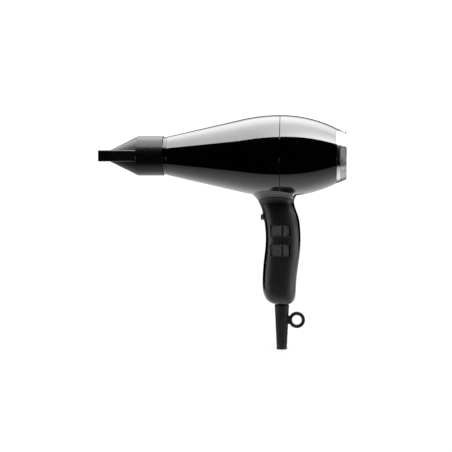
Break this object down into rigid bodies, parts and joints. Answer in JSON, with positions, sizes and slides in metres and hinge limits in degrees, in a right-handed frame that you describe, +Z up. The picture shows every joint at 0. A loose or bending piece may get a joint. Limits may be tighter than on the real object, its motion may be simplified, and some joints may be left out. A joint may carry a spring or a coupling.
{
  "type": "hair dryer",
  "caption": "Pistol-grip hair dryer with a tapered barrel, push-on concentrator nozzle, twist-off rear filter, rocker switches, cool-shot button and a strain relief with a hanging loop.",
  "frame": {"origin": "middle of the grip, on the handle axis", "axes": "+Z up the handle to the barrel, nozzle towards -X, +Y to the right of a user who looks along the air stream; the rocker switches face -Y"},
  "size_m": [0.2682, 0.089, 0.2568],
  "materials": {
    "gloss_black": "high-gloss moulded black",
    "soft_grip": "soft-touch coated black",
    "satin_black": "satin moulded black",
    "rocker_grey": "satin moulded dark grey",
    "button_grey": "satin moulded dark grey",
    "grille_black": "moulded black",
    "silver_trim": "satin silver",
    "steel_mesh": "woven wire mesh",
    "black_rubber": "moulded black rubber",
    "phenolic": "moulded black phenolic",
    "fan_plastic": "moulded grey-black",
    "steel": "zinc-plated steel",
    "lamination": "stacked laminations",
    "copper": "enamelled copper wire",
    "bronze": "sintered bronze",
    "carbon": "carbon graphite",
    "mica": "pressed mica sheet",
    "heating_wire": "oxidised resistance wire",
    "lead_insulation": "silicone wire insulation"
  },
  "bodies": {
    "body": {"front_housing": "gloss_black", "rear_housing": "gloss_black", "handle_left_shell": "gloss_black", "handle_right_shell": "gloss_black", "left_grip_panel": "soft_grip", "right_grip_panel": "soft_grip", "button_bezel": "gloss_black", "outlet_collar": "gloss_black", "outlet_grille": "grille_black", "fan_guard": "grille_black", "strain_relief": "black_rubber", "front_mount_ring": "black_rubber", "rear_mount_ring": "black_rubber", "air_duct": "phenolic", "stator_core": "lamination", "field_coils": "copper", "motor_front_bracket": "phenolic", "motor_rear_bracket": "phenolic", "motor_front_bearing": "bronze", "motor_rear_bearing": "bronze", "carbon_brushes": "carbon", "brush_holders": "bronze", "brush_springs": "steel", "heater_board_upright": "mica", "heater_board_flat": "mica", "heater_sleeve": "mica", "heater_coils": "heating_wire", "thermostat": "phenolic", "thermal_fuse": "steel", "speed_switch": "phenolic", "heat_switch": "phenolic", "cool_shot_switch": "phenolic", "button_spring": "steel", "terminal_block": "phenolic", "cord_clamp": "phenolic", "clamp_screws": "steel", "handle_screws": "steel", "neck_screws": "steel", "supply_leads": "lead_insulation", "motor_leads": "lead_insulation"},
    "nozzle_grip": {"nozzle_grip_ring": "black_rubber"},
    "nozzle": {"nozzle": "satin_black"},
    "filter_basket": {"filter_basket": "grille_black", "filter_mesh": "steel_mesh"},
    "filter_ring": {"filter_ring": "silver_trim"},
    "rotor": {"fan": "fan_plastic", "fan_clip": "steel", "motor_shaft": "steel", "armature_core": "lamination", "armature_windings": "copper", "commutator": "copper"},
    "speed_rocker": {"speed_rocker": "rocker_grey"},
    "heat_rocker": {"heat_rocker": "rocker_grey"},
    "cool_shot_button": {"cool_shot_button": "button_grey"}
  },
  "joints": [
    {"name": "nozzle_pull", "type": "slide", "parent": "body", "child": "nozzle_grip", "axis": [-1, 0, 0], "range_m": [0, 0.03]},
    {"name": "nozzle_turn", "type": "hinge", "parent": "nozzle_grip", "child": "nozzle", "pos_m": [-0.14, 0, 0.105], "axis": [1, 0, 0], "continuous": true},
    {"name": "filter_pull", "type": "slide", "parent": "body", "child": "filter_basket", "axis": [1, 0, 0], "range_m": [0, 0.015]},
    {"name": "filter_twist", "type": "hinge", "parent": "filter_basket", "child": "filter_ring", "pos_m": [0.06, 0, 0.105], "axis": [1, 0, 0], "range_deg": [0, 20]},
    {"name": "fan_spin", "type": "hinge", "parent": "body", "child": "rotor", "pos_m": [0, 0, 0.105], "axis": [1, 0, 0], "continuous": true},
    {"name": "speed_rocker_tilt", "type": "hinge", "parent": "body", "child": "speed_rocker", "pos_m": [-0.00165, -0.009, 0.0234], "axis": [0, 0, 1], "range_deg": [-8, 8]},
    {"name": "heat_rocker_tilt", "type": "hinge", "parent": "body", "child": "heat_rocker", "pos_m": [-0.00165, -0.009, 0.0024], "axis": [0, 0, 1], "range_deg": [-8, 8]},
    {"name": "cool_shot_press", "type": "slide", "parent": "body", "child": "cool_shot_button", "axis": [1, 0, 0], "range_m": [0, 0.0025], "stiffness_N_per_m": 400, "springref_m": -0.0025, "deforming": ["button_spring"]}
  ]
}
